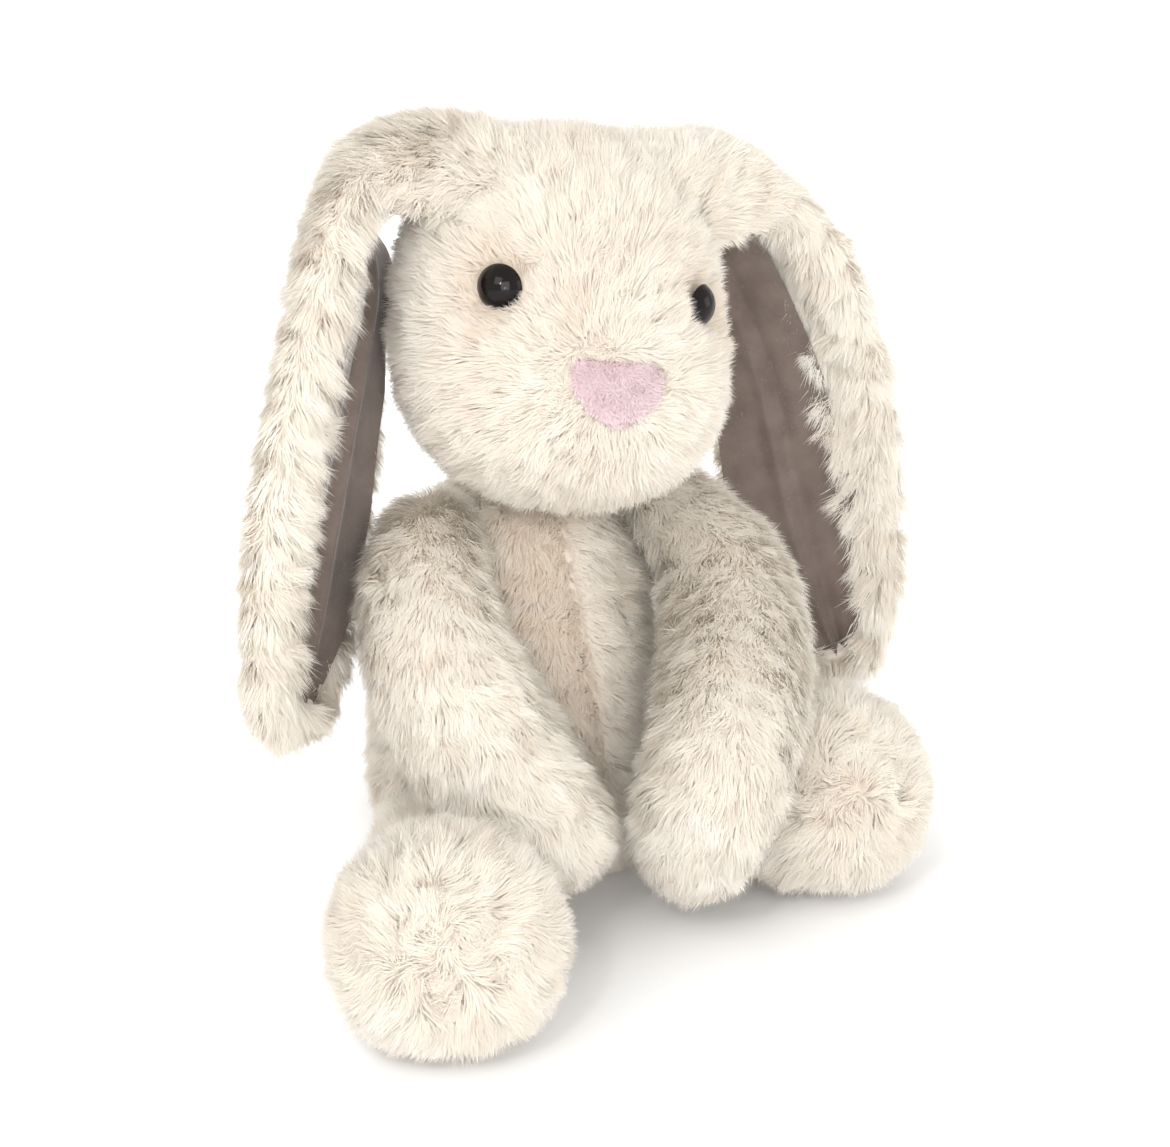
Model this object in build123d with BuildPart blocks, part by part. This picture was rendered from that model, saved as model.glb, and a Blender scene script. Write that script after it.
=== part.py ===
from build123d import *
from math import cos, radians, sin
import os

# A sitting plush rabbit with lop ears. Millimetres, +Z up.
# The origin is the centre of the flat seat on the floor. The rabbit looks along -Y,
# so its right side is -X and its left side is +X.

# ---- driving dimensions -------------------------------------------------------------
PILE_WALL = 4.0          # backing cloth and packed pile, as one wall
WALL_GAP = 0.3           # between a wall and the stuffing behind it
SEAM_GAP = 0.7           # between a limb's round root and the recess it turns in

NECK_CENTRE = (0, -6, 103)
NECK_RADIUS = 30.0
TORSO_SECTIONS = (       # height, radius
    (0, 42),
    (16, 48),
    (34, 49.5),
    (54, 47),
    (78, 40.5),
    (NECK_CENTRE[2], NECK_RADIUS),
)

HEAD_CENTRE = (2, -22, 183)
HEAD_TILT = (0, 11, -12)  # nod, roll to the left and turn to the right, in degrees
HEAD_SECTIONS = (         # height, half width, half depth, how far the middle is forward
    (-54, 22, 21, 12),
    (-46, 35, 33, 14),
    (-30, 47.5, 44, 13.5),
    (-12, 51, 47, 9),
    (8, 49.5, 44, 3),
    (28, 43.5, 40, -1),
    (44, 33, 31, -3),
    (52, 21, 20, -3),
    (56, 11, 11, -3),
)
HEAD_TOP = HEAD_SECTIONS[-1][0]

EYE_SPREAD = 33.5        # each eye's distance from the face's middle plane
EYE_HEIGHT = 11.0        # above the head's centre
EYE_RADIUS = 7.0
EYE_DOME = 4.6
EYE_SEAT = 1.4           # depth of the flat that the eye stands on
SHANK_RADIUS = 1.6
SHANK_LENGTH = 8.5
SHANK_CLEARANCE = 0.3
WASHER_RADIUS = 6.0
WASHER_THICKNESS = 1.2
WASHER_DEPTH = 6.6

NOSE_WIDTH = 31.0
NOSE_HEIGHT = 21.5
NOSE_TOP = -4.5          # below the head's centre
NOSE_CORNER = 4.5
NOSE_PROUD = 0.8
NOSE_SUNK = 1.4

EAR_ROOT_SPREAD = 39.0   # the ears' hinge lines, in the head's own frame
EAR_ROOT_DEPTH = 6.0
EAR_ROOT_HEIGHT = 44.0
EAR_THICKNESS = 17.0
EAR_ROOT_WIDTH = 34.0
EAR_EDGE_ROLL = 9.5      # fur edge outside the lining on each side
LINING_THICKNESS = 6.0

LEG_ROOT_RADIUS = 16.0
LEG_END_RADIUS = 16.5
HIP_FLARE = 8.0          # how much wider the hip's recess gets towards the foot
FOOT_RADIUS = 32.5
FOOT_HEIGHT = 31.0
POUCH_REST = 7.0         # how high the pellet pouches lie
TAIL_RADIUS = 16.0
TAIL_CENTRE = (0, 59.5, 27)

SHOULDER = {"right": (-42, -21, 117), "left": (41.5, -25, 113)}
ARM_PATH = {
    "right": (SHOULDER["right"], (-54, -35, 107), (-57, -50, 88), (-50, -65, 63), (-37.5, -77, 41)),
    "left": (SHOULDER["left"], (47, -44, 101), (39, -67, 85), (15, -96, 66), (2, -99, 37)),
}
ARM_RADII = (15.0, 20.0, 22.5, 22.5, 20.0)

HIP = {"right": (-48, -24, 17), "left": (44, -26, 17)}
FOOT_CENTRE = {"right": (-93, -109, FOOT_HEIGHT), "left": (60.5, -86, FOOT_HEIGHT)}
ANKLE_HEIGHT = 21.0      # where the leg's middle line meets the foot

SIDES = {"right": -1, "left": 1}

HEAD_PLANE = Plane(Location(HEAD_CENTRE, HEAD_TILT))


def in_head(x, y, z):
    """A point given in the head's own frame."""
    return HEAD_PLANE.from_local_coords((x, y, z))


EAR_PATH = {
    "right": (
        in_head(-EAR_ROOT_SPREAD, EAR_ROOT_DEPTH, EAR_ROOT_HEIGHT),
        (-59, -6, 222),
        (-69, -10, 184),
        (-79, -14, 142),
        (-86, -16, 102),
        (-92, -17, 62),
    ),
    "left": (
        in_head(EAR_ROOT_SPREAD, EAR_ROOT_DEPTH, EAR_ROOT_HEIGHT),
        (70, -18, 215),
        (91, -15, 182),
        (105, -13, 136),
        (112, -13, 88),
        (121, -14, 30),
    ),
}
EAR_STATIONS = (0.0, 0.1, 0.25, 0.45, 0.65, 0.82, 0.93, 0.98)
EAR_WIDTHS = (34, 42, 52, 58, 60, 54, 40, 24)
EAR_TWIST = (0, 15, 38, 54, 58, 58, 58, 58)   # degrees that the lining turns forward


# ---- shared shapes ------------------------------------------------------------------
def write(solid, label):
    """Label a finished piece and write its file."""
    solid.label = label
    export_step(solid, f"parts/{label}.step")


def hollow(outer, inner, *removed):
    """A cover: the outer form without the inner one and without the removed shapes."""
    with BuildPart() as cover:
        add(outer)
        add(inner, mode=Mode.SUBTRACT)
        for shape in removed:
            add(shape, mode=Mode.SUBTRACT)
    return cover.part


def ball(centre, radius):
    with BuildPart() as sphere:
        with Locations(centre):
            Sphere(radius)
    return sphere.part


def disc(plane, radius, low, high):
    """A cylinder across a plane, from one distance off it to another."""
    with BuildPart(plane.offset(low)) as cylinder:
        Cylinder(radius, high - low, align=(Align.CENTER, Align.CENTER, Align.MIN))
    return cylinder.part


def pellet_pouch(x, y, radius, height):
    """A flat round bag of pellets, lying low in the stuffing."""
    with BuildPart(Plane.XY.offset(POUCH_REST)) as pouch:
        with Locations((x, y)):
            Cylinder(radius, height, align=(Align.CENTER, Align.CENTER, Align.MIN))
        fillet(pouch.edges(), radius=height / 3)
    return pouch.part


def toward(start, end):
    """A plane at start that looks at end."""
    return Plane(origin=start, z_dir=Vector(*end) - Vector(*start))


# ---- torso --------------------------------------------------------------------------
def hip_recess(side_name, inset):
    """The hollow that a leg's round root turns in, widening towards where the leg goes."""
    hip = HIP[side_name]
    ahead = (*FOOT_CENTRE[side_name][:2], hip[2])
    wide = LEG_ROOT_RADIUS + inset + SEAM_GAP
    with BuildPart(toward(hip, ahead)) as recess:
        Sphere(wide)
        Cone(wide, wide + HIP_FLARE, 3 * wide, align=(Align.CENTER, Align.CENTER, Align.MIN))
    return recess.part


def torso_form(inset):
    """The torso's pear shape with its domed neck, made smaller all round by inset."""
    axis_x, axis_y, neck_height = NECK_CENTRE
    half_section = Plane(origin=(axis_x, axis_y, 0), x_dir=(0, 1, 0), z_dir=(1, 0, 0))
    neck = NECK_RADIUS - inset
    with BuildPart() as pear:
        with BuildSketch(half_section):
            with BuildLine():
                flank = Spline(*((radius - inset, height) for height, radius in TORSO_SECTIONS))
                CenterArc((0, neck_height), neck, 0, 90)
                Line((0, neck_height + neck), (0, 0))
                Line((0, 0), flank @ 0)
            make_face()
        revolve(axis=Axis((axis_x, axis_y, 0), (0, 0, 1)))
        split(bisect_by=Plane.XY.offset(inset), keep=Keep.TOP)
    return hollow(pear.part, *(hip_recess(side_name, inset) for side_name in SIDES))


def make_torso():
    pouch = pellet_pouch(0, 8, radius=28, height=15)
    write(hollow(torso_form(0), torso_form(PILE_WALL)), "torso_cover")
    write(hollow(torso_form(PILE_WALL + WALL_GAP), pouch), "torso_filling")
    write(pouch, "seat_pellet_pouch")


def make_tail():
    inside = TAIL_RADIUS - PILE_WALL
    write(hollow(ball(TAIL_CENTRE, TAIL_RADIUS), ball(TAIL_CENTRE, inside)), "tail_cover")
    write(ball(TAIL_CENTRE, inside - WALL_GAP), "tail_filling")


# ---- head ---------------------------------------------------------------------------
def ear_hinge(side):
    """A plane on an ear's hinge line, which its z axis follows."""
    root = in_head(side * EAR_ROOT_SPREAD, EAR_ROOT_DEPTH, EAR_ROOT_HEIGHT)
    return Plane(origin=root, z_dir=HEAD_PLANE.y_dir)


def head_form(inset):
    """The head's full rounded shape, made smaller all round by inset."""
    with BuildPart() as form:
        for height, half_width, half_depth, forward in HEAD_SECTIONS:
            with BuildSketch(HEAD_PLANE.offset(height * (1 - inset / HEAD_TOP))):
                with Locations((0, -forward)):
                    Ellipse(half_width - inset, half_depth - inset)
        loft()
        with Locations(NECK_CENTRE):
            Sphere(NECK_RADIUS + SEAM_GAP + inset, mode=Mode.SUBTRACT)
        with Locations(*(ear_hinge(side).location for side in SIDES.values())):
            Cylinder(
                EAR_THICKNESS / 2 + SEAM_GAP + inset,
                EAR_ROOT_WIDTH + 2 * SEAM_GAP + 2 * inset,
                mode=Mode.SUBTRACT,
            )
    return form.part


def face_point(x, height):
    """How far in front of the head's axis its surface lies, and the way it faces there."""
    above = next(i for i, section in enumerate(HEAD_SECTIONS) if section[0] > height)
    low, high = HEAD_SECTIONS[above - 1], HEAD_SECTIONS[above]
    share = (height - low[0]) / (high[0] - low[0])
    half_width, half_depth, forward = (low[i] + share * (high[i] - low[i]) for i in (1, 2, 3))
    reach = half_depth * (1 - (x / half_width) ** 2) ** 0.5
    outward = Vector(x / half_width**2, -reach / half_depth**2, 0).normalized()
    return -forward - reach, outward


def eye_plane(side):
    """The flat in the head's surface that an eye stands on, looking outwards."""
    x = side * EYE_SPREAD
    y, outward = face_point(x, EYE_HEIGHT)
    seat = in_head(x, y, EYE_HEIGHT)
    ahead = in_head(x + outward.X, y + outward.Y, EYE_HEIGHT)
    return Plane(origin=seat, z_dir=ahead - seat).offset(-EYE_SEAT)


def make_eye(side_name, side):
    plane = eye_plane(side)
    ball_radius = (EYE_RADIUS**2 + EYE_DOME**2) / (2 * EYE_DOME)
    with BuildPart() as dome:
        with Locations((0, 0, EYE_DOME - ball_radius)):
            Sphere(ball_radius)
        split(bisect_by=Plane.XY, keep=Keep.TOP)
        Cylinder(SHANK_RADIUS, SHANK_LENGTH, align=(Align.CENTER, Align.CENTER, Align.MAX))
    washer_top = WASHER_THICKNESS - WASHER_DEPTH
    washer = hollow(
        disc(plane, WASHER_RADIUS, -WASHER_DEPTH, washer_top),
        disc(plane, SHANK_RADIUS, -WASHER_DEPTH, washer_top),
    )
    write(dome.part.moved(plane.location), f"eye_{side_name}")
    write(washer, f"eye_washer_{side_name}")


def nose_prism():
    """An upside-down triangle with soft corners, running forwards out of the head."""
    front = Plane(origin=HEAD_PLANE.origin, x_dir=HEAD_PLANE.x_dir, z_dir=-HEAD_PLANE.y_dir)
    half = NOSE_WIDTH / 2
    brow = NOSE_TOP - NOSE_HEIGHT * 0.4
    with BuildPart() as prism:
        with BuildSketch(front):
            with BuildLine():
                Polyline(
                    (-half, NOSE_TOP),
                    (half, NOSE_TOP),
                    (half * 0.9, brow),
                    (0, NOSE_TOP - NOSE_HEIGHT - 3),
                    (-half * 0.9, brow),
                    close=True,
                )
            make_face()
            fillet(vertices(), radius=NOSE_CORNER)
        extrude(amount=90)
    return prism.part


def make_nose():
    proud, prism, sunk = head_form(-NOSE_PROUD), nose_prism(), head_form(NOSE_SUNK)
    with BuildPart() as nose:
        add(proud)
        add(prism, mode=Mode.INTERSECT)
        add(sunk, mode=Mode.SUBTRACT)
    write(nose.part, "nose_patch")
    return nose.part


def make_head():
    nose = make_nose()
    seats = [eye_plane(side) for side in SIDES.values()]
    sockets = [disc(seat, EYE_RADIUS + SHANK_CLEARANCE, 0, 9) for seat in seats]
    shank_holes = [disc(seat, SHANK_RADIUS + SHANK_CLEARANCE, -9, 1) for seat in seats]
    pockets = [disc(seat, WASHER_RADIUS + SHANK_CLEARANCE, -SHANK_LENGTH - 1, 0) for seat in seats]
    cover = hollow(head_form(0), head_form(PILE_WALL), nose, *sockets, *shank_holes)
    write(cover, "head_cover")
    write(hollow(head_form(PILE_WALL + WALL_GAP), *pockets), "head_filling")


# ---- ears ---------------------------------------------------------------------------
def ear_planes(side_name):
    """Planes across the ear: x across its width, y out of one of its two faces."""
    side = SIDES[side_name]
    with BuildLine() as centre:
        Spline(*EAR_PATH[side_name])
    planes = []
    for place, twist in zip(EAR_STATIONS, EAR_TWIST):
        across = Vector(side * sin(radians(twist)), -cos(radians(twist)), 0)
        planes.append(Plane(origin=centre.line @ place, x_dir=across, z_dir=centre.line % place))
    return planes


def ear_loft(planes, widths, thickness, shift):
    """A flat oval body along the ear, moved along its planes' y by shift."""
    with BuildPart() as ear:
        for plane, width in zip(planes, widths):
            with BuildSketch(plane):
                with Locations((0, shift)):
                    Ellipse(width / 2, thickness / 2)
        loft()
    return ear.part


def make_ear(side_name):
    planes = ear_planes(side_name)
    lining_widths = [width - 2 * EAR_EDGE_ROLL for width in EAR_WIDTHS[1:-1]]
    to_face = SIDES[side_name] * (EAR_THICKNESS / 2 - LINING_THICKNESS / 2 + 0.6)
    lining = ear_loft(planes[1:-1], lining_widths, LINING_THICKNESS, to_face)
    write(hollow(ear_loft(planes, EAR_WIDTHS, EAR_THICKNESS, 0), lining), f"ear_outer_{side_name}")
    write(lining, f"ear_lining_{side_name}")


# ---- limbs --------------------------------------------------------------------------
def arm_form(path, inset):
    """A bowed arm: round sections along a smooth path, with a ball at each end."""
    with BuildLine() as centre:
        Spline(*path)
    line = centre.line
    with BuildPart() as arm:
        for step, radius in enumerate(ARM_RADII):
            place = step / (len(ARM_RADII) - 1)
            with BuildSketch(Plane(origin=line @ place, z_dir=line % place)):
                Circle(radius - inset)
        loft()
        for end, radius in ((line @ 0, ARM_RADII[0]), (line @ 1, ARM_RADII[-1])):
            with Locations(end):
                Sphere(radius - inset)
    return arm.part


def make_arm(side_name):
    path = ARM_PATH[side_name]
    write(hollow(arm_form(path, 0), arm_form(path, PILE_WALL)), f"arm_cover_{side_name}")
    write(arm_form(path, PILE_WALL + WALL_GAP), f"arm_filling_{side_name}")


def foot_form(side_name, inset):
    """The foot's ball, cut flat where it stands."""
    with BuildPart() as foot:
        with Locations(FOOT_CENTRE[side_name]):
            Sphere(FOOT_RADIUS - inset)
        split(bisect_by=Plane.XY.offset(inset), keep=Keep.TOP)
    return foot.part


def leg_form(side_name, inset):
    """The leg from its round root at the hip as far as the foot's ball."""
    foot = FOOT_CENTRE[side_name]
    ankle = (foot[0], foot[1], ANKLE_HEIGHT)
    along = toward(HIP[side_name], ankle)
    length = (Vector(*ankle) - along.origin).length
    with BuildPart(along) as leg:
        Sphere(LEG_ROOT_RADIUS - inset)
        Cone(
            LEG_ROOT_RADIUS - inset,
            LEG_END_RADIUS - inset,
            length,
            align=(Align.CENTER, Align.CENTER, Align.MIN),
        )
    return hollow(leg.part, ball(foot, FOOT_RADIUS + inset))


def make_leg(side_name):
    foot = FOOT_CENTRE[side_name]
    pouch = pellet_pouch(foot[0], foot[1], radius=13.5, height=13)
    foot_filling = foot_form(side_name, PILE_WALL + WALL_GAP)
    write(hollow(leg_form(side_name, 0), leg_form(side_name, PILE_WALL)), f"leg_cover_{side_name}")
    write(leg_form(side_name, PILE_WALL + WALL_GAP), f"leg_filling_{side_name}")
    write(hollow(foot_form(side_name, 0), foot_form(side_name, PILE_WALL)), f"foot_cover_{side_name}")
    write(hollow(foot_filling, pouch), f"foot_filling_{side_name}")
    write(pouch, f"foot_pellet_pouch_{side_name}")


os.makedirs("parts", exist_ok=True)
make_torso()
make_tail()
make_head()
for side_name, side in SIDES.items():
    make_eye(side_name, side)
    make_ear(side_name)
    make_arm(side_name)
    make_leg(side_name)
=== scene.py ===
import math

import bmesh
import bpy
import numpy as np
from mathutils import Matrix, Vector
from mathutils.kdtree import KDTree


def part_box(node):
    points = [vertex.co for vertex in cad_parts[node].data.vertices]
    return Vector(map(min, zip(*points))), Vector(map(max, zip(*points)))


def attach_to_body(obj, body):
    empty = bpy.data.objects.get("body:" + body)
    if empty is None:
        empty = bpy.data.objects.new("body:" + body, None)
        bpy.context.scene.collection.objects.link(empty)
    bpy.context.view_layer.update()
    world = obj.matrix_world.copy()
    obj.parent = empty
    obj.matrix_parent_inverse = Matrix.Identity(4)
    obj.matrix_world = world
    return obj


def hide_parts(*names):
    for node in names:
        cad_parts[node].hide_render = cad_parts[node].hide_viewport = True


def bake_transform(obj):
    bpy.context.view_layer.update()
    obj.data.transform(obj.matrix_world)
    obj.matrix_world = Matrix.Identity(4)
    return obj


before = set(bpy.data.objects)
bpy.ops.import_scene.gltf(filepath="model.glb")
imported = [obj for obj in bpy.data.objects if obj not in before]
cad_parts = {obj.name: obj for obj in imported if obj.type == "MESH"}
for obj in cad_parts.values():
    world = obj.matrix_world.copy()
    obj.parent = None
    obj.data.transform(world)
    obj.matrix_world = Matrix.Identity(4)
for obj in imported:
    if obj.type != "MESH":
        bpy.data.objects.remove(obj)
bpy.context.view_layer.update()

MM = 0.001
SIDES = {"right": -1, "left": 1}
UP = np.array((0.0, 0.0, 1.0))
FLOOR_GAP = 0.4 * MM


# ---- small vector helpers -------------------------------------------------------------
def mm(*values):
    return np.array(values, float) * MM


def unit(v):
    v = np.asarray(v, float)
    return v / np.maximum(np.linalg.norm(v, axis=-1, keepdims=True), 1e-12)


def along_surface(v, normals):
    """The part of v that lies in the surface, as unit vectors."""
    v = np.broadcast_to(v, normals.shape)
    return unit(v - (v * normals).sum(1, keepdims=True) * normals)


def ramp(x, low, high):
    """0 below low, 1 above high and smooth between."""
    t = np.clip((x - low) / (high - low), 0, 1)
    return t * t * (3 - 2 * t)


def falloff(distance, reach):
    """1 at no distance, fading smoothly to nothing at about twice the reach."""
    return np.exp(-((distance / reach) ** 2))


def point_tree(points):
    """A search tree of the points."""
    tree = KDTree(len(points))
    for i, point in enumerate(points):
        tree.insert(point, i)
    tree.balance()
    return tree


def distance(points, place):
    return np.linalg.norm(points - place, axis=1)


def gap_to(points, places):
    """How far each place is from the nearest of the points."""
    tree = point_tree(points)
    return np.array([tree.find(place)[2] for place in places.tolist()])


def patches(points, size, seed):
    """A smooth random value from 0 to 1 at each point, with patches of about that size."""
    rng = np.random.default_rng(seed)
    total = np.zeros(len(points))
    for _ in range(9):
        wave = unit(rng.normal(size=3)) * rng.uniform(0.6, 1.6) * 2 * math.pi / size
        total += np.sin(points @ wave + rng.uniform(0, 2 * math.pi))
    return np.clip(0.5 + total / 7, 0, 1)


def node_points(name):
    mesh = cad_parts[name].data
    points = np.empty(len(mesh.vertices) * 3, np.float32)
    mesh.vertices.foreach_get("co", points)
    return points.reshape(-1, 3).astype(float)


# ---- materials ------------------------------------------------------------------------
def new_material(name):
    material = bpy.data.materials.new(name)
    material.use_nodes = True
    nodes = material.node_tree.nodes
    shader = nodes["Principled BSDF"]
    return material, nodes, material.node_tree.links, shader


def add_bump(nodes, links, shader, height, distance, strength=1.0):
    bump = nodes.new("ShaderNodeBump")
    bump.inputs["Distance"].default_value = distance
    bump.inputs["Strength"].default_value = strength
    links.new(height, bump.inputs["Height"])
    links.new(bump.outputs["Normal"], shader.inputs["Normal"])


def add_noise(nodes, links, scale, detail=3.0):
    place = nodes.new("ShaderNodeTexCoord")
    noise = nodes.new("ShaderNodeTexNoise")
    noise.inputs["Scale"].default_value = scale
    noise.inputs["Detail"].default_value = detail
    links.new(place.outputs["Object"], noise.inputs["Vector"])
    return noise.outputs["Fac"]


def add_ramp(nodes, links, value, stops):
    colours = nodes.new("ShaderNodeValToRGB")
    elements = colours.color_ramp.elements
    while len(elements) < len(stops):
        elements.new(0.5)
    for element, (place, colour) in zip(elements, stops):
        element.position = place
        element.color = (*colour, 1)
    links.new(value, colours.inputs["Fac"])
    return colours.outputs["Color"]


def pile_material(name, pale, tan, sheen, through=0.0):
    """Strands coloured from root to tip, darker at the root as painted shade deep in the pile, each between
    pale and tan; a share of light goes through.
    """
    material, nodes, links, shader = new_material(name)
    place = nodes.new("ShaderNodeUVMap")
    place.uv_map = "OFBake"
    split = nodes.new("ShaderNodeSeparateXYZ")
    links.new(place.outputs["UV"], split.inputs["Vector"])
    mix = nodes.new("ShaderNodeMix")
    mix.data_type = "RGBA"
    links.new(split.outputs["X"], mix.inputs["Factor"])
    links.new(add_ramp(nodes, links, split.outputs["Y"], pale), mix.inputs["A"])
    links.new(add_ramp(nodes, links, split.outputs["Y"], tan), mix.inputs["B"])
    links.new(mix.outputs["Result"], shader.inputs["Base Color"])
    shader.inputs["Roughness"].default_value = 0.85
    shader.inputs["Specular IOR Level"].default_value = 0.2
    shader.inputs["Sheen Weight"].default_value = sheen
    shader.inputs["Sheen Roughness"].default_value = 0.5
    if through:
        glow = nodes.new("ShaderNodeBsdfTranslucent")
        both = nodes.new("ShaderNodeMixShader")
        both.inputs["Fac"].default_value = through
        links.new(mix.outputs["Result"], glow.inputs["Color"])
        links.new(shader.outputs["BSDF"], both.inputs[1])
        links.new(glow.outputs["BSDF"], both.inputs[2])
        links.new(both.outputs["Shader"], nodes["Material Output"].inputs["Surface"])
    return material


def cloth_material(name, dark, pale, weave_scale, sheen):
    material, nodes, links, shader = new_material(name)
    colour = add_ramp(nodes, links, add_noise(nodes, links, 90), ((0.3, dark), (0.7, pale)))
    links.new(colour, shader.inputs["Base Color"])
    fine = add_noise(nodes, links, weave_scale, 4)
    add_bump(nodes, links, shader, fine, 0.25 * MM, 0.6)
    shader.inputs["Roughness"].default_value = 0.9
    shader.inputs["Specular IOR Level"].default_value = 0.2
    shader.inputs["Sheen Weight"].default_value = sheen
    shader.inputs["Sheen Roughness"].default_value = 0.4
    return material


def eye_material():
    material, nodes, links, shader = new_material("eye_gloss")
    stops = ((0.3, (0.004, 0.003, 0.003)), (0.8, (0.010, 0.007, 0.006)))
    colour = add_ramp(nodes, links, add_noise(nodes, links, 60), stops)
    links.new(colour, shader.inputs["Base Color"])
    shader.inputs["Roughness"].default_value = 0.05
    shader.inputs["Specular IOR Level"].default_value = 0.22
    return material


# In all three piles the roots are darker than the tips: painted shade deep in the pile.
CREAM_PILE = pile_material(
    "cream_pile",
    pale=((0.0, (0.87, 0.81, 0.725)), (0.5, (0.915, 0.882, 0.82)), (1.0, (0.93, 0.908, 0.858))),
    tan=((0.0, (0.74, 0.61, 0.48)), (0.5, (0.82, 0.73, 0.62)), (1.0, (0.87, 0.815, 0.74))),
    sheen=0.12,
    through=0.45,
)
NOSE_PILE = pile_material(
    "nose_pile",
    pale=((0.0, (0.63, 0.485, 0.505)), (1.0, (0.68, 0.55, 0.575))),
    tan=((0.0, (0.59, 0.44, 0.46)), (1.0, (0.65, 0.51, 0.53))),
    sheen=0.3,
)
LINING_NAP = pile_material(
    "lining_nap",
    pale=((0.0, (0.10, 0.075, 0.065)), (1.0, (0.27, 0.215, 0.19))),
    tan=((0.0, (0.08, 0.06, 0.05)), (1.0, (0.19, 0.15, 0.13))),
    sheen=0.5,
)
BACKING = cloth_material("backing_cloth", (0.80, 0.73, 0.64), (0.86, 0.80, 0.73), 900, 0.1)
VELOUR = cloth_material("velour", (0.13, 0.10, 0.085), (0.19, 0.15, 0.13), 1400, 0.6)
PINK_CLOTH = cloth_material("pink_cloth", (0.66, 0.48, 0.50), (0.72, 0.56, 0.58), 1200, 0.3)
EYE_GLOSS = eye_material()


# ---- meshes ---------------------------------------------------------------------------
SWELL_FRAMES = 20


def link(name, mesh, material):
    obj = bpy.data.objects.new(name, mesh)
    bpy.context.scene.collection.objects.link(obj)
    mesh.materials.clear()
    mesh.materials.append(material)
    for polygon in mesh.polygons:
        polygon.use_smooth = True
    return obj


def bake(obj):
    """Applies the object's modifiers."""
    shown = obj.evaluated_get(bpy.context.evaluated_depsgraph_get())
    mesh = bpy.data.meshes.new_from_object(shown)
    obj.modifiers.clear()
    obj.data = mesh


def keep_outer_island(mesh):
    """Drops the inner walls of a hollow piece: only the island with the largest box stays."""
    form = bmesh.new()
    form.from_mesh(mesh)
    bmesh.ops.remove_doubles(form, verts=form.verts, dist=1e-6)
    left = set(form.verts)
    islands = []
    while left:
        island, edge = set(), [left.pop()]
        while edge:
            vert = edge.pop()
            island.add(vert)
            for neighbour in (e.other_vert(vert) for e in vert.link_edges):
                if neighbour in left:
                    left.remove(neighbour)
                    edge.append(neighbour)
        points = np.array([v.co for v in island])
        islands.append((np.ptp(points, axis=0).prod(), len(islands), island))
    outer = max(islands)[2]
    bmesh.ops.delete(form, geom=[v for v in form.verts if v not in outer], context="VERTS")
    form.to_mesh(mesh)
    form.free()


def resurface(obj, voxel, passes):
    """Rebuilds the form as one closed surface of even faces, and smooths it."""
    remesh = obj.modifiers.new("remesh", "REMESH")
    remesh.mode = "VOXEL"
    remesh.voxel_size = voxel * MM
    bake(obj)
    smooth = obj.modifiers.new("smooth", "SMOOTH")
    smooth.iterations = passes
    bake(obj)


def mesh_arrays(mesh):
    points = np.empty(len(mesh.vertices) * 3)
    mesh.vertices.foreach_get("co", points)
    normals = np.empty(len(mesh.vertices) * 3)
    mesh.vertices.foreach_get("normal", normals)
    return points.reshape(-1, 3), normals.reshape(-1, 3)


def set_points(mesh, points):
    mesh.vertices.foreach_set("co", np.ascontiguousarray(points, np.float32).ravel())
    mesh.update()


def inflate(obj, cap):
    """Swells the closed cloth with air pressure; no point moves further than cap."""
    before, _ = mesh_arrays(obj.data)
    cloth = obj.modifiers.new("cloth", "CLOTH")
    cloth.settings.quality = 5
    cloth.settings.mass = 0.3
    cloth.settings.use_pressure = True
    cloth.settings.uniform_pressure_force = 4
    cloth.settings.effector_weights.gravity = 0
    cloth.point_cache.frame_start = 1
    cloth.point_cache.frame_end = SWELL_FRAMES
    for step in range(1, SWELL_FRAMES + 1):
        bpy.context.scene.frame_set(step)
    shown = obj.evaluated_get(bpy.context.evaluated_depsgraph_get())
    after, _ = mesh_arrays(shown.data)
    obj.modifiers.clear()
    bpy.context.scene.frame_set(1)
    move = after - before
    far = np.linalg.norm(move, axis=1, keepdims=True)
    move *= np.minimum(1, cap / np.maximum(far, 1e-9))
    set_points(obj.data, before + move)


def make_skin(name, nodes, offset, voxel=5.0, swell=0.0, shape=None):
    """The cloth under the pile: a smooth closed form made from the nodes' outer walls."""
    form = bmesh.new()
    for node in nodes:
        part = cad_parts[node].data.copy()
        keep_outer_island(part)
        form.from_mesh(part)
        bpy.data.meshes.remove(part)
    mesh = bpy.data.meshes.new(name)
    form.to_mesh(mesh)
    form.free()
    obj = link(name, mesh, BACKING)
    resurface(obj, voxel, 3)
    points, normals = mesh_arrays(obj.data)
    set_points(obj.data, points + normals * offset * MM)
    if swell:
        inflate(obj, swell * MM)
    subdivide = obj.modifiers.new("subdivide", "SUBSURF")
    subdivide.levels = 1
    bake(obj)
    points, normals = mesh_arrays(obj.data)
    if shape is not None:
        points = shape(points, normals)
    points[:, 2] = np.maximum(points[:, 2], FLOOR_GAP)
    set_points(obj.data, points)
    for polygon in obj.data.polygons:
        polygon.use_smooth = True
    return obj


def scatter(obj, per_mm2, seed):
    """Evenly random places on a mesh, with the surface's smooth normals."""
    rng = np.random.default_rng(seed)
    mesh = obj.data
    points, normals = mesh_arrays(mesh)
    mesh.calc_loop_triangles()
    corners = np.empty(len(mesh.loop_triangles) * 3, np.int32)
    mesh.loop_triangles.foreach_get("vertices", corners)
    a, b, c = corners.reshape(-1, 3).T
    area = np.linalg.norm(np.cross(points[b] - points[a], points[c] - points[a]), axis=1) / 2
    count = int(area.sum() / MM**2 * per_mm2)
    pick = rng.choice(len(area), count, p=area / area.sum())
    u, v = rng.random(count), rng.random(count)
    flip = u + v > 1
    u[flip], v[flip] = 1 - u[flip], 1 - v[flip]
    weights = np.stack((1 - u - v, u, v), 1)[:, :, None]
    chosen = np.stack((a[pick], b[pick], c[pick]), 1)
    return (points[chosen] * weights).sum(1), unit((normals[chosen] * weights).sum(1))


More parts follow.
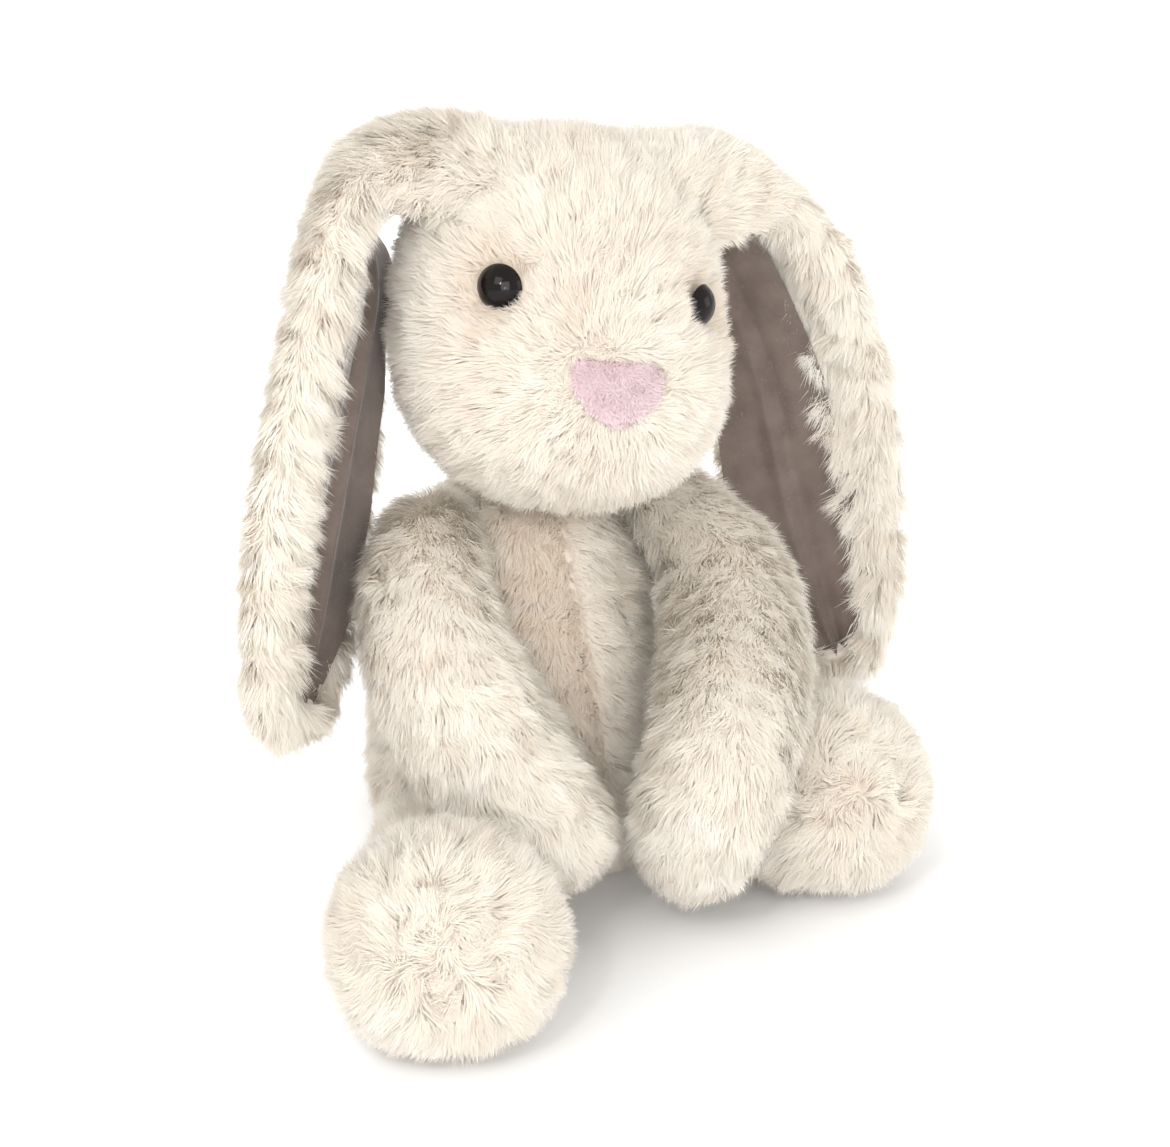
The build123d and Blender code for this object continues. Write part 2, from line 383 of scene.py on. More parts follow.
STRAND_FACES = np.array(((0, 1, 2), (2, 1, 3)))
SURFACE_SHADE = 0.60     # how far a strand is shaded like the surface that it grows from
MOST_STRANDS = 98000     # in one piece
DENSITY = 6.0            # strands on each square millimetre of the long pile
TIP_SPREAD = 0.45 * MM
LOOSE = 0.22             # how far each strand leaves the flow
WANDER = 1.15            # how far whole patches leave the flow
WANDER_SIZE = 9.5 * MM
MOTTLE = 0.32            # how strongly the long pile is mottled with tan
MOTTLE_SIZE = 8 * MM


def strand_mesh(name, roots, middles, tips, widths, rolls, tints, facing, material):
    """Every strand is a flat tapered blade, bent in the middle, with its face outwards."""
    count = len(roots)
    along = unit(tips - roots)
    side = unit(np.cross(along, facing) + 1e-6)
    front = np.cross(side, along)
    side, front = (
        side * np.cos(rolls) + front * np.sin(rolls),
        front * np.cos(rolls) - side * np.sin(rolls),
    )
    half = side * widths[:, None] / 2
    points = np.stack((roots, middles + half, middles - half, tips), 1)
    points[:, :, 2] = np.maximum(points[:, :, 2], FLOOR_GAP)
    faces = (STRAND_FACES[None] + np.arange(count)[:, None, None] * 4).reshape(-1)
    mesh = bpy.data.meshes.new(name)
    mesh.vertices.add(count * 4)
    mesh.vertices.foreach_set("co", points.astype(np.float32).ravel())
    mesh.loops.add(len(faces))
    mesh.loops.foreach_set("vertex_index", faces.astype(np.int32))
    mesh.polygons.add(count * 2)
    mesh.polygons.foreach_set("loop_start", np.arange(0, len(faces), 3, dtype=np.int32))
    mesh.update(calc_edges=True)
    mesh.polygons.foreach_set("use_smooth", np.ones(count * 2, bool))
    place = np.empty((count, 4, 2), np.float32)
    place[:, :, 0] = np.clip(tints, 0.02, 0.98)[:, None]
    place[:, :, 1] = (0.02, 0.5, 0.5, 0.98)
    layer = mesh.uv_layers.new(name="OFBake")
    layer.data.foreach_set("uv", place.reshape(-1, 2)[faces].ravel())
    obj = bpy.data.objects.new(name, mesh)
    bpy.context.scene.collection.objects.link(obj)
    mesh.materials.append(material)
    shade = unit(facing * SURFACE_SHADE + front * (1 - SURFACE_SHADE))
    mesh.normals_split_custom_set_from_vertices(np.repeat(shade, 4, axis=0).tolist())
    return obj


def grow(
    name, body, roots, normals, flow, length, lift, tint, seed,
    width=0.30, clump_size=3.4, clump=0.22, material=CREAM_PILE, slot="long_pile", sink=0.6, attach=None,
):
    """Pile on a skin: strands rise at the lift angle in degrees, then bend down along the flow.

    Lengths and sizes are in millimetres. The tint goes from 0, pale, to 1, tan. Strands lean towards
    the middle of their clump, and wander off the flow in patches. The pile rides the body, unless
    attach ties it in another way.
    """
    rng = np.random.default_rng(seed)
    count = len(roots)
    length = (np.broadcast_to(length, count) * MM * rng.uniform(0.7, 1.1, count))[:, None]
    lift = np.radians(np.broadcast_to(lift, count) + rng.normal(0, 7, count))[:, None]
    drift = np.stack([patches(roots, WANDER_SIZE, seed * 10 + k) - 0.5 for k in range(4)], 1)
    lift = np.clip(lift + drift[:, 3:] * WANDER * 0.5, 0.2, 1.3)
    flow = along_surface(unit(flow) + drift[:, :3] * WANDER + rng.normal(0, LOOSE, (count, 3)), normals)
    steep = np.minimum(lift * 1.35, 1.5)
    shallow = lift * 0.6
    first = normals * np.sin(steep) + flow * np.cos(steep)
    second = normals * np.sin(shallow) + flow * np.cos(shallow)
    starts = roots - normals * sink * MM
    middles = starts + first * length * 0.5
    tips = middles + second * length * 0.55
    spacing = clump_size**2 * DENSITY
    centres = np.flatnonzero(rng.random(count) < 1 / max(1.0, spacing))
    tree = point_tree(roots[centres])
    nearest = centres[np.array([tree.find(point)[1] for point in roots.tolist()])]
    pull = np.broadcast_to(clump, count) * rng.uniform(0.3, 1.4, count)
    pull = np.clip(pull, 0, 0.9)[:, None]
    tips = tips + (tips[nearest] - tips) * pull
    middles = middles + (middles[nearest] - middles) * pull * 0.35
    tips += rng.normal(0, TIP_SPREAD, (count, 3))
    widths = width * MM * rng.uniform(0.7, 1.3, count)
    rolls = rng.normal(0, 0.3, (count, 1))
    if slot == "long_pile":
        tint = tint + MOTTLE * patches(roots, MOTTLE_SIZE, seed + 5) ** 2 - 0.05
    tint = np.clip(tint + rng.normal(0, 0.12, count), 0, 1)
    order = np.argsort(roots[:, 2], kind="stable")
    pieces = np.array_split(order, math.ceil(count / MOST_STRANDS))
    for number, part in enumerate(pieces, 1):
        label = name if len(pieces) == 1 else f"{name}_{number}"
        pile = strand_mesh(
            label, starts[part], middles[part], tips[part], widths[part], rolls[part], tint[part],
            normals[part], material,
        )
        if attach is None:
            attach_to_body(pile, body)
        else:
            attach(pile)


def add_skin(body, obj, nodes):
    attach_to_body(obj, body)
    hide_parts(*nodes)


# ---- the head's directions, from its own parts ------------------------------------------
def middle(node):
    low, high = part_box(node)
    return (np.array(low) + np.array(high)) / 2


HEAD_RIGHTWARD = unit(middle("eye_left") - middle("eye_right"))
FACE_AHEAD = unit(np.cross(HEAD_RIGHTWARD, UP))
HEAD_UP = unit(np.cross(FACE_AHEAD, HEAD_RIGHTWARD))
NOSE = middle("nose_patch")


# ---- eyes -------------------------------------------------------------------------------
DOME_RADIUS = 7.0     # millimetres
DOME_HEIGHT = 4.6


def eye_axis(side_name):
    """The centre of an eye's flat back, and the way that the eye looks."""
    points = node_points(f"eye_{side_name}")
    start = points[np.argmax(distance(points, points.mean(0)))]
    near_end = points[distance(points, start) < 3.5 * MM]
    shank_end = (near_end.min(0) + near_end.max(0)) / 2
    apex = points[np.argmax(distance(points, shank_end))]
    for _ in range(4):
        ahead = unit(apex - shank_end)
        depth = (points - shank_end) @ ahead
        shank_end = points[depth < depth.min() + 0.4 * MM].mean(0)
        apex = points[depth > depth.max() - 0.3 * MM].mean(0)
    return apex - unit(apex - shank_end) * DOME_HEIGHT * MM, unit(apex - shank_end)


def make_eye(side_name):
    """A glossy dome with a rounded rim, turned on its axis, with its shank behind."""
    seat, ahead = eye_axis(side_name)
    ball = (DOME_RADIUS**2 + DOME_HEIGHT**2) / (2 * DOME_HEIGHT)
    profile = [(0.0, -8.4), (1.55, -8.4), (1.55, -0.6), (6.2, -0.5), (6.8, -0.2), (DOME_RADIUS, 0.25)]
    edge = math.asin((DOME_RADIUS - 0.05) / ball)
    for step in range(1, 15):
        angle = edge * (1 - step / 14)
        profile.append((ball * math.sin(angle), DOME_HEIGHT - ball * (1 - math.cos(angle))))
    form = bmesh.new()
    verts = [form.verts.new((radius * MM, 0, height * MM)) for radius, height in profile]
    edges = [form.edges.new(pair) for pair in zip(verts, verts[1:])]
    bmesh.ops.spin(
        form, geom=verts + edges, axis=(0, 0, 1), cent=(0, 0, 0), angle=2 * math.pi, steps=56, use_merge=True
    )
    bmesh.ops.remove_doubles(form, verts=form.verts, dist=1e-6)
    bmesh.ops.recalc_face_normals(form, faces=form.faces)
    mesh = bpy.data.meshes.new(f"eye_dome_{side_name}")
    form.to_mesh(mesh)
    form.free()
    turn = Vector(ahead).to_track_quat("Z", "Y").to_matrix().to_4x4()
    mesh.transform(Matrix.Translation(Vector(seat)) @ turn)
    obj = link(f"eye_dome_{side_name}", mesh, EYE_GLOSS)
    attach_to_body(obj, "head")
    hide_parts(f"eye_{side_name}")
    return seat, ahead


# ---- where the limbs and ears run ---------------------------------------------------------
ARM_PATH = {
    "right": mm((-42, -21, 117), (-54, -35, 107), (-57, -50, 88), (-50, -65, 63), (-37.5, -77, 41)),
    "left": mm((41.5, -25, 113), (47, -44, 101), (39, -67, 85), (15, -96, 66), (2, -99, 37)),
}
FOOT_CENTRE = {"right": mm(-93, -109, 31), "left": mm(60.5, -86, 31)}
SOLE_AHEAD = {"right": unit((-0.62, -0.75, 0.30)), "left": unit((-0.30, -0.88, 0.38))}
EAR_PATH = {
    "right": mm(
        (-25.8, -8, 233.2), (-55.5, -6, 223), (-65, -10, 184),
        (-77, -14, 142), (-85.5, -16, 102), (-92, -17, 62),
    ),
    "left": mm(
        (49.1, -24.2, 218.7), (67.5, -18, 215), (86.5, -15, 182),
        (103, -13, 136), (111.5, -13, 88), (121, -14, 30),
    ),
}


EAR_BEND = 12       # the place of 60 on an ear's path where it turns down
EAR_PLACES = 90
LINING_PLACES = 130


def smooth_path(corners, count=60):
    """A smooth line through the corners, evenly divided."""
    corners = np.vstack((2 * corners[0] - corners[1], corners, 2 * corners[-1] - corners[-2]))
    line = []
    for a, b, c, d in zip(corners, corners[1:], corners[2:], corners[3:]):
        for t in np.linspace(0, 1, 24, endpoint=False):
            bend = (2 * a - 5 * b + 4 * c - d) * t**2 + (3 * b - a - 3 * c + d) * t**3
            line.append(0.5 * (2 * b + (c - a) * t + bend))
    line = np.array(line + [corners[-2]])
    run = np.concatenate(([0], np.cumsum(np.linalg.norm(np.diff(line, axis=0), axis=1))))
    places = np.linspace(0, run[-1], count)
    return np.stack([np.interp(places, run, line[:, k]) for k in range(3)], 1)


def nearest_on(line, points):
    return np.argmin(((points[:, None] - line[None]) ** 2).sum(2), axis=1)


# ---- skins ------------------------------------------------------------------------------
def belly_seam(points, normals):
    """Draws the belly's middle seam in a little."""
    near = falloff(points[:, 0], 2.2 * MM) * (points[:, 1] < -20 * MM)
    return points - normals * (near * 0.8 * MM)[:, None]


eyes = {side_name: make_eye(side_name) for side_name in SIDES}


def eye_hollows(points, normals):
    """Presses the head's cloth in where each eye is drawn back."""
    for seat, _ in eyes.values():
        points = points - normals * (falloff(distance(points, seat), 11 * MM) * 2.3 * MM)[:, None]
    return points


def gathering(share):
    """How far an ear's cloth is gathered in at a share of its length, towards its seam on the head."""
    return 0.50 + 0.50 * ramp(share, 0.04, 0.30)


def raising(share):
    """How far an ear's cloth is drawn up and back there."""
    return mm(0, 2.5, 4.0) * (1 - ramp(share, 0.10, 0.34))[:, None]


def ear_root(side_name):
    """The change of shape that gathers an ear's cloth towards its seam on the head."""
    line = smooth_path(EAR_PATH[side_name], EAR_PLACES)

    def shape(points, normals):
        place = nearest_on(line, points)
        share = place / (EAR_PLACES - 1)
        return line[place] + raising(share) + (points - line[place]) * gathering(share)[:, None]

    return shape


head_skin = make_skin("head_skin", ["head_filling"], 1.2, swell=1.6, shape=eye_hollows)
add_skin("head", head_skin, ["head_cover", "head_filling", "eye_washer_left", "eye_washer_right"])
torso_skin = make_skin("torso_skin", ["torso_cover"], -3.2, swell=1.6, shape=belly_seam)
add_skin("torso", torso_skin, ["torso_cover", "torso_filling", "seat_pellet_pouch"])
tail_skin = make_skin("tail_skin", ["tail_cover"], -5.0, voxel=3.0)
add_skin("tail", tail_skin, ["tail_cover", "tail_filling"])
arm_skins, leg_skins, ear_skins = {}, {}, {}
for side_name in SIDES:
    arm = make_skin(f"arm_skin_{side_name}", [f"arm_cover_{side_name}"], -3.2, swell=1.5)
    add_skin(f"arm_{side_name}", arm, [f"arm_cover_{side_name}", f"arm_filling_{side_name}"])
    leg_nodes = [f"leg_cover_{side_name}", f"foot_cover_{side_name}"]
    leg = make_skin(f"leg_skin_{side_name}", leg_nodes, -3.2, swell=1.5)
    inside = ["leg_filling", "foot_filling", "foot_pellet_pouch"]
    add_skin(f"leg_{side_name}", leg, leg_nodes + [f"{node}_{side_name}" for node in inside])
    ear = make_skin(
        f"ear_skin_{side_name}", [f"ear_outer_{side_name}"], -1.5, voxel=2.5, shape=ear_root(side_name)
    )
    add_skin(f"ear_{side_name}", ear, [f"ear_outer_{side_name}"])
    arm_skins[side_name], leg_skins[side_name], ear_skins[side_name] = arm, leg, ear


# ---- pile: head -------------------------------------------------------------------------
def head_pile():
    roots, normals = scatter(head_skin, DENSITY, 11)
    to_nose = gap_to(node_points("nose_patch"), roots)
    to_eye = np.min([distance(roots, seat) for seat, _ in eyes.values()], axis=0)
    below_nose = (roots - NOSE) @ HEAD_UP < -8.0 * MM
    keep = ((to_nose > 1.9 * MM) | below_nose) & (to_eye > 6.6 * MM)
    roots, normals, to_nose, to_eye = roots[keep], normals[keep], to_nose[keep], to_eye[keep]
    away = unit(roots - NOSE)
    behind = ramp(-(normals @ FACE_AHEAD), -0.2, 0.8)[:, None]
    above = ramp(roots @ HEAD_UP - NOSE @ HEAD_UP, 0, 50 * MM)[:, None]
    flow = away - FACE_AHEAD * 0.35 - UP * (0.30 + 0.9 * behind - 0.35 * above)
    for seat, _ in eyes.values():
        gap = distance(roots, seat)[:, None]
        flow = flow + unit(roots - seat) * falloff(gap, 9 * MM) * 1.2
    above_nose = ramp((roots - NOSE) @ HEAD_UP, 2 * MM, 9 * MM)
    near_top = (falloff(to_nose, 4 * MM) * above_nose)[:, None]
    flow = flow * (1 - near_top) - UP * near_top
    lift = 46 + 10 * falloff(to_nose, 14 * MM) + 4 * behind[:, 0]
    cropped = falloff(to_eye - DOME_RADIUS * MM, 6 * MM)
    length = 10.0 - 3.0 * falloff(to_nose, 9 * MM) - 3.8 * cropped
    for side_name, side in SIDES.items():
        near_ear = falloff(distance(roots, EAR_PATH[side_name][0]), 19 * MM)
        length = length + 5.0 * near_ear
        flow = flow + (HEAD_RIGHTWARD * side * 1.4 + UP * 0.2) * near_ear[:, None]
        ear_bend = smooth_path(EAR_PATH[side_name])[EAR_BEND]
        beside = falloff(distance(roots, ear_bend), 19 * MM)
        length = length + 7.0 * beside
        lift = lift + 30 * beside
    tint = 0.16 + 0.30 * patches(roots, 34 * MM, 3) ** 2
    # painted shade: the pile is tinted tan in the hollow round each eye
    tint = tint + 1.1 * falloff(to_eye, 12 * MM)
    grow("head_pile", "head", roots, normals, flow, length, lift, tint, 12)


# ---- pile: body and limbs ----------------------------------------------------------------
def torso_pile():
    roots, normals = scatter(torso_skin, DENSITY * 0.8, 21)
    front = ramp(-normals[:, 1], 0.2, 0.8)
    seam = np.abs(roots[:, 0])
    side = np.sign(roots[:, 0])[:, None] * np.array((1.0, 0, 0))
    flow = -UP + side * (0.35 * front + 0.5 * falloff(seam, 5 * MM))[:, None]
    length = 10.5 - 2.2 * front - 2.5 * falloff(seam, 4 * MM) * front
    shoulder = ramp(roots[:, 2], 78 * MM, 98 * MM) * ramp(np.abs(roots[:, 0]), 12 * MM, 24 * MM)
    length = length + 6.0 * shoulder
    lift = 44 + 16 * front + 10 * shoulder
    tint = 0.16 + 0.28 * patches(roots, 26 * MM, 5)
    # painted shade with random mottling: the belly's front on the side below x = 0 is tinted tan, where the
    # pile is seen against its lay
    tint += front * (roots[:, 0] < 0) * (0.30 + 0.55 * patches(roots, 13 * MM, 6))
    # painted shade along the belly's middle seam
    tint += front * 0.15 * falloff(seam, 3 * MM)
    grow("torso_pile", "torso", roots, normals, flow, length, lift, tint, 22)


def arm_pile(side_name):
    roots, normals = scatter(arm_skins[side_name], DENSITY, 31)
    line = smooth_path(ARM_PATH[side_name])
    ahead = unit(np.gradient(line, axis=0))
    place = nearest_on(line, roots)
    outward = unit(roots - line[place])
    flow = ahead[place] - UP * 0.25 + outward * 0.2
    tint = 0.02 + 0.25 * patches(roots, 24 * MM, 7) ** 1.5
    length = 9.5 + 1.0 * patches(roots, 20 * MM, 8)
    grow(f"arm_pile_{side_name}", f"arm_{side_name}", roots, normals, flow, length, 42, tint, 32)


def leg_pile(side_name):
    roots, normals = scatter(leg_skins[side_name], DENSITY, 41)
    centre = FOOT_CENTRE[side_name]
    whorl = centre + SOLE_AHEAD[side_name] * 31 * MM
    wander = np.stack([patches(roots, 16 * MM, seed) - 0.5 for seed in (14, 15, 16)], 1)
    swirl = np.cross(unit(roots - whorl), SOLE_AHEAD[side_name])
    near = falloff(distance(roots, whorl), 14 * MM)
    flow = unit(roots - whorl) - UP * 0.25 + wander * (1.5 + 3.5 * near[:, None]) + swirl * 0.3
    tint = 0.14 + 0.30 * patches(roots, 22 * MM, 9) ** 1.5 + 0.12 * near
    low = ramp(-normals[:, 2], 0.5, 0.9)
    length = 11.0 - 6.0 * low
    lift = 50 + 12 * near - 32 * low
    grow(f"leg_pile_{side_name}", f"leg_{side_name}", roots, normals, flow, length, lift, tint, 42)


def tail_pile():
    roots, normals = scatter(tail_skin, DENSITY, 51)
    flow = normals + np.array((0, 0.5, -0.6))
    tint = 0.12 + 0.2 * patches(roots, 15 * MM, 10)
    grow("tail_pile", "tail", roots, normals, flow, 12.0, 55, tint, 52)


# ---- ears ---------------------------------------------------------------------------------
# Along an ear, as shares of its length: its width in millimetres and its twist in degrees.
EAR_STATIONS = (0.0, 0.1, 0.25, 0.45, 0.65, 0.82, 0.93, 0.98, 1.0)
EAR_WIDTHS = (34, 42, 52, 58, 60, 54, 40, 24, 20)
EAR_TWIST = (0, 15, 38, 54, 58, 58, 58, 58, 58)
EDGE_ROLL = 9.5 * MM
REAR_ROLL = {"right": 6.0 * MM, "left": 2.5 * MM}
REAR_REACH = {"right": 13.0 * MM, "left": 0.5 * MM}     # of the lining past the rear edge, near the head
LINING_START, LINING_TAPER, LINING_END = 0.05, 0.76, 0.945      # shares of the ear's length
FRINGE = {"right": 5.0 * MM, "left": 10.0 * MM}      # how much further the outer edge's pile comes in


def ear_frames(side_name, count=EAR_PLACES):
    """The ear's middle line, and at each place: along, across, out of the lined face, half width."""
    place = np.linspace(0, 1, count)
    line = smooth_path(EAR_PATH[side_name], count) + raising(place)
    along = unit(np.gradient(line, axis=0))
    twist = np.radians(np.interp(place, EAR_STATIONS, EAR_TWIST))
    side = SIDES[side_name]
    across = np.stack((side * np.sin(twist), -np.cos(twist), np.zeros(count)), 1)
    across = unit(across - (across * along).sum(1, keepdims=True) * along)
    face = side * np.cross(along, across)
    half = np.interp(place, EAR_STATIONS, EAR_WIDTHS) / 2 * MM
    return line, along, across, face, half


def lining_limits(side_name, share, half):
    """How far the lining reaches across, towards the rear edge and towards the outer edge."""
    upper = ramp(share, 0.02, 0.08) * (1 - ramp(share, 0.26, 0.40))
    low = -half + REAR_ROLL[side_name] * (1 - upper) - REAR_REACH[side_name] * upper
    high = half - EDGE_ROLL + 2 * MM - FRINGE[side_name] * (1 - ramp(share, 0.55, 0.9))
    centre = high - 5 * MM
    past = np.clip((share - LINING_TAPER) / (LINING_END - LINING_TAPER), 0, 1)
    taper = np.sqrt(np.clip(1 - past**2, 0, 1)) * 0.92 + 0.08
    return centre + (low - centre) * taper, centre + (high - centre) * taper


def ear_pile(side_name):
    roots, normals = scatter(ear_skins[side_name], DENSITY, 61)
    line, along, across, face, half = ear_frames(side_name)
    place = nearest_on(line, roots)
    offset = roots - line[place]
    share = place / (EAR_PLACES - 1)
    offset = offset / gathering(share)[:, None]
    u = (offset * across[place]).sum(1)
    w = (offset * face[place]).sum(1)
    low, high = lining_limits(side_name, share, half[place])
    high = high - 1.5 * MM
    inward = (normals * face[place]).sum(1)
    lined = (u < high) & (u > low + 0.5 * MM) & ((w > -1 * MM) | (inward > 0.1))
    lined &= (share > LINING_START + 0.02) & (share < LINING_END - 0.01)
    grown = ~lined & (gap_to(lining_inner[side_name], roots) > 3.2 * MM)
    roots, normals, place, u, w, high = (array[grown] for array in (roots, normals, place, u, w, high))
    share = place / (EAR_PLACES - 1)
    edge = ramp(u, high - 3 * MM, high + 2 * MM)
    edge *= ramp(w, -4 * MM, 1 * MM)
    rear = ramp(-u, half[place] - 8 * MM, half[place] - 2 * MM)
    flow = along[place] - across[place] * (0.9 * edge - 0.15)[:, None] - UP * 0.1
    tint = 0.08 + 0.28 * patches(roots, 22 * MM, 11) ** 1.5
    upper = 1 - ramp(share, 0.25, 0.4)
    below = ramp(-normals[:, 2], -0.1, 0.5) * (1 - ramp(share, 0.10, 0.18))
    length = 10.0 + 3.5 * edge + (1.0 if side_name == "right" else -3.0) * rear + 3.0 * rear * upper
    length = length * (1 - 0.62 * below)
    lift = (44 - 4 * edge + 8 * rear) * (1 - 0.4 * below)
    clump = 0.28 + 0.25 * edge
    grow(
        f"ear_pile_{side_name}", f"ear_{side_name}", roots, normals, flow, length, lift, tint, 62,
        clump=clump,
    )


lining_inner = {}


def lining(side_name):
    """The velour inside the ear: a dished sheet tucked under the furry edges, with a soft fold."""
    line, along, across, face, half = ear_frames(side_name, LINING_PLACES)
    last = LINING_PLACES - 1
    rows = range(int(LINING_START * last), int(LINING_END * last) + 1)
    columns = np.linspace(-1, 1, 41)
    points = []
    for row in rows:
        place = row / last
        low, high = lining_limits(side_name, place, half[row])
        fold = 2.2 * falloff(columns + 0.25 - 0.3 * place, 0.13) * ramp(place, 0.12, 0.4)
        fold -= 1.4 * falloff(columns + 0.02 - 0.3 * place, 0.16) * ramp(place, 0.12, 0.4)
        depth = (4.6 + 2.2 * columns**2 + fold) * MM
        for column, out in zip(columns, depth):
            reach = low + (high - low) * (column + 1) / 2
            points.append(line[row] + (across[row] * reach + face[row] * out) * gathering(place))
    wide = len(columns)
    inner = np.array(points).reshape(len(rows), wide, 3)[:-3, 1 : wide - 6]
    lining_inner[side_name] = inner.reshape(-1, 3)
    faces = []
    for row in range(len(rows) - 1):
        for column in range(wide - 1):
            start = row * wide + column
            quad = (start, start + 1, start + wide + 1, start + wide)
            faces.append(quad if SIDES[side_name] > 0 else quad[::-1])
    mesh = bpy.data.meshes.new(f"lining_sheet_{side_name}")
    mesh.from_pydata(points, [], faces)
    obj = link(mesh.name, mesh, VELOUR)
    body = f"ear_{side_name}"
    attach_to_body(obj, body)
    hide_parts(f"ear_lining_{side_name}")
    roots, normals = scatter(obj, 2.5, 81)
    nap = along[nearest_on(line, roots)]
    tint = patches(roots, 18 * MM, 13)
    grow(
        f"lining_nap_{side_name}", body, roots, normals, nap, 1.5, 30, tint, 82,
        width=0.4, clump_size=2.0, clump=0.1, material=LINING_NAP, slot="velour", sink=0.1,
    )


# ---- where an ear's pile runs into the crown -----------------------------------------------
def ear_fairing(side_name):
    """A soft mound over an ear's root, which joins the crown to the ear."""
    line, along, _, face, _ = ear_frames(side_name)
    root = line[0]
    head_points, head_normals = mesh_arrays(head_skin.data)
    ear_points, _ = mesh_arrays(ear_skins[side_name].data)
    near = (distance(head_points, root) < 27 * MM) & (head_normals[:, 2] > 0.0)
    ear_near = nearest_on(line, ear_points) < 17
    form = bmesh.new()
    for point in (*head_points[near], *ear_points[ear_near]):
        form.verts.new(point)
    hull = bmesh.ops.convex_hull(form, input=form.verts)
    inside = set(hull["geom_interior"] + hull["geom_unused"])
    inside = [item for item in inside if isinstance(item, bmesh.types.BMVert)]
    bmesh.ops.delete(form, geom=inside, context="VERTS")
    mesh = bpy.data.meshes.new(f"ear_root_{side_name}")
    form.to_mesh(mesh)
    form.free()
    obj = link(mesh.name, mesh, BACKING)
    resurface(obj, 2.5, 12)
    outwards = along[4]

    def bend(piece):
        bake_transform(piece)

    bend(obj)
    roots, normals = scatter(obj, DENSITY, 91)
    place = nearest_on(line, roots)
    over_lining = ((roots - line[place]) * face[place]).sum(1) > 0
    seen = (normals[:, 2] > -0.6) & ~(over_lining & (place > 14))
    roots, normals = roots[seen], normals[seen]
    past = ramp((roots - root) @ outwards, -12 * MM, 14 * MM)[:, None]
    backward = unit(-FACE_AHEAD * 0.9 + UP * 0.3)
    flow = backward * (1 - past) + outwards * (0.4 + past) - UP * 0.3 * past
    tint = 0.12 + 0.3 * patches(roots, 20 * MM, 17) ** 1.5
    grow(f"ear_root_pile_{side_name}", None, roots, normals, flow, 10.5, 46, tint, 92, attach=bend)


# ---- nose ---------------------------------------------------------------------------------
def make_nose():
    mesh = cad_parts["nose_patch"].data.copy()
    obj = link("nose_cloth", mesh, PINK_CLOTH)
    resurface(obj, 0.8, 3)
    points, _ = mesh_arrays(obj.data)
    height = (points - NOSE) @ HEAD_UP
    lift = np.maximum(-3.5 * MM - height, 0) * 0.5
    set_points(obj.data, points + HEAD_UP * lift[:, None] - FACE_AHEAD * lift[:, None] * 0.15)
    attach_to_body(obj, "head")
    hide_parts("nose_patch")
    roots, normals = scatter(obj, 9, 71)
    front = normals @ FACE_AHEAD > 0.2
    roots, normals = roots[front], normals[front]
    flow = -UP + unit(roots - NOSE) * 0.3
    tint = 0.1 + 0.5 * patches(roots, 6 * MM, 12)
    grow(
        "nose_pile", "head", roots, normals, flow, 1.6, 50, tint, 72,
        width=0.35, clump_size=1.0, clump=0.08, material=NOSE_PILE, slot="nose_fabric", sink=0.1,
    )


head_pile()
torso_pile()
tail_pile()
make_nose()
for side_name in SIDES:
    arm_pile(side_name)
    leg_pile(side_name)
    lining(side_name)
    ear_pile(side_name)
    ear_fairing(side_name)


# ---- stage ----------------------------------------------------------------------------------
def plain(name, colour, roughness):
    material, _, _, shader = new_material(name)
    shader.inputs["Base Color"].default_value = (*colour, 1)
    shader.inputs["Roughness"].default_value = roughness
    return material


floor_mesh = bpy.data.meshes.new("floor")
floor_mesh.from_pydata([(-6, -6, 0), (6, -6, 0), (6, 6, 0), (-6, 6, 0)], [], [(0, 1, 2, 3)])
link("floor", floor_mesh, plain("paper_floor", (0.95, 0.95, 0.95), 0.9))

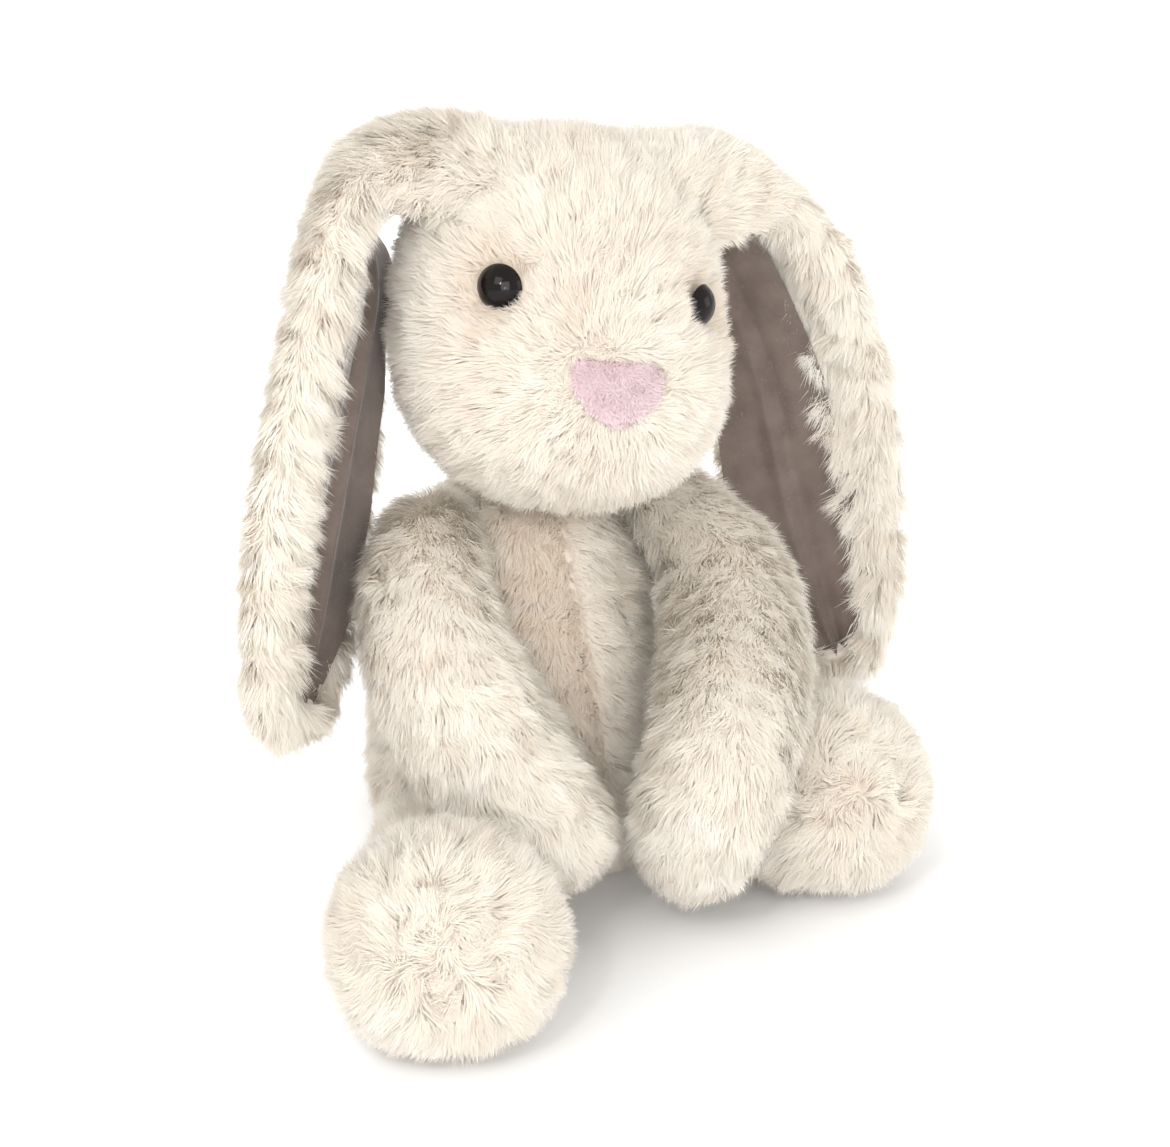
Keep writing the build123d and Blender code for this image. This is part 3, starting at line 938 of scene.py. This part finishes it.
world = bpy.data.worlds.new("studio")
bpy.context.scene.world = world
world.use_nodes = True
sky = world.node_tree.nodes["Background"]
sky.inputs["Color"].default_value = (1.0, 0.995, 0.985, 1)
direction = world.node_tree.nodes.new("ShaderNodeTexCoord")
height = world.node_tree.nodes.new("ShaderNodeSeparateXYZ")
dimmer = world.node_tree.nodes.new("ShaderNodeMapRange")
dimmer.inputs["From Min"].default_value = 0.05
dimmer.inputs["From Max"].default_value = 0.8
dimmer.inputs["To Min"].default_value = 1.02
dimmer.inputs["To Max"].default_value = 0.80
world.node_tree.links.new(direction.outputs["Generated"], height.inputs["Vector"])
world.node_tree.links.new(height.outputs["Z"], dimmer.inputs["Value"])
world.node_tree.links.new(dimmer.outputs["Result"], sky.inputs["Strength"])


def soft_light(name, place, aim, size, power, colour=(1, 1, 1)):
    """A rectangular area light that looks from its place at the aim."""
    data = bpy.data.lights.new(name, "AREA")
    data.shape = "RECTANGLE"
    data.size, data.size_y = size
    data.energy = power
    data.color = colour
    obj = bpy.data.objects.new(name, data)
    bpy.context.scene.collection.objects.link(obj)
    obj.location = place
    obj.rotation_mode = "QUATERNION"
    obj.rotation_quaternion = (Vector(aim) - Vector(place)).to_track_quat("-Z", "Y")


BELLY = (0, 0, 0.1)
FACE = (0, -0.07, 0.19)
soft_light("key", (-1.5, -0.9, 1.5), BELLY, (1.2, 1.2), 13, (1.0, 0.99, 0.975))
soft_light("front", (-0.75, -1.75, 0.70), BELLY, (1.3, 1.3), 20)
soft_light("fill", (1.5, -1.2, 0.5), BELLY, (1.0, 1.0), 5)
soft_light("back", (0.7, 1.7, 1.1), BELLY, (1.4, 1.2), 24)
soft_light("window_high", (-0.62, -0.62, 0.62), FACE, (0.06, 0.10), 1.3)
soft_light("window_low", (-0.40, -0.86, 0.30), FACE, (0.05, 0.08), 0.35)

CAMERA_RIGHT = np.array((0.8290, -0.5592, 0.0))
CAMERA_UP = np.array((0.1913, 0.2835, 0.9397))
CAMERA_BACK = np.array((-0.5255, -0.7790, 0.3420))
CAMERA_PLACE = CAMERA_RIGHT * 0.0233 + CAMERA_UP * 0.0855 + CAMERA_BACK * 1.0
camera_data = bpy.data.cameras.new("camera")
camera_data.sensor_width = 36
camera_data.lens = 92.3
camera_data.clip_start = 0.05
camera = bpy.data.objects.new("camera", camera_data)
bpy.context.scene.collection.objects.link(camera)
turn = np.eye(4)
turn[:3, :3] = np.stack((CAMERA_RIGHT, CAMERA_UP, CAMERA_BACK), 1)
turn[:3, 3] = CAMERA_PLACE
camera.matrix_world = Matrix(turn.tolist())
bpy.context.scene.camera = camera
bpy.context.scene.view_settings.view_transform = "Standard"
bpy.context.scene.view_settings.exposure = 0.02
